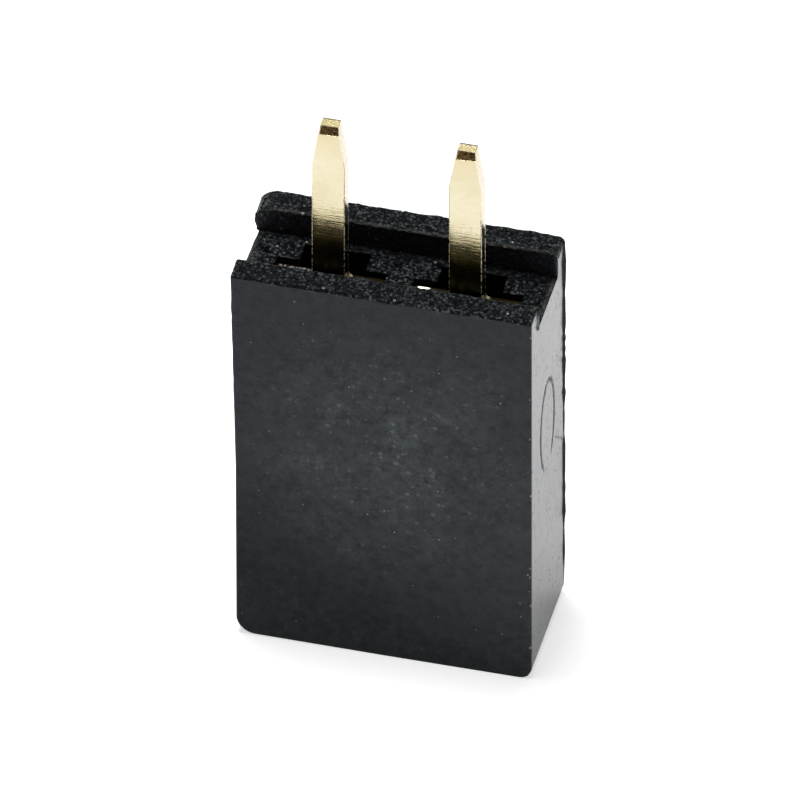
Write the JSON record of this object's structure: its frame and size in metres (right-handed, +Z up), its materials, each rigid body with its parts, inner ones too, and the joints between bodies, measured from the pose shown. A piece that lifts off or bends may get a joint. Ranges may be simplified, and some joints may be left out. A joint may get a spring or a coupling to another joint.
{
  "type": "socket header",
  "caption": "Straight single-row socket header: moulded housing with standoff rails and tuning-fork contacts, for plugging a board onto square pins.",
  "frame": {"origin": "centre of the mating face, which the header stands on", "axes": "+X along the row of contacts, +Y across the row to the rear, +Z up towards the circuit board and the solder tails"},
  "size_m": [0.0054, 0.0024, 0.0115],
  "materials": {
    "housing": "satin black moulded thermoplastic with a spark-grained board side",
    "contact": "gold-plated copper alloy strip, polished by stamping"
  },
  "bodies": {
    "root": {"housing": "housing", "contact_1": "contact", "contact_2": "contact"}
  },
  "joints": []
}
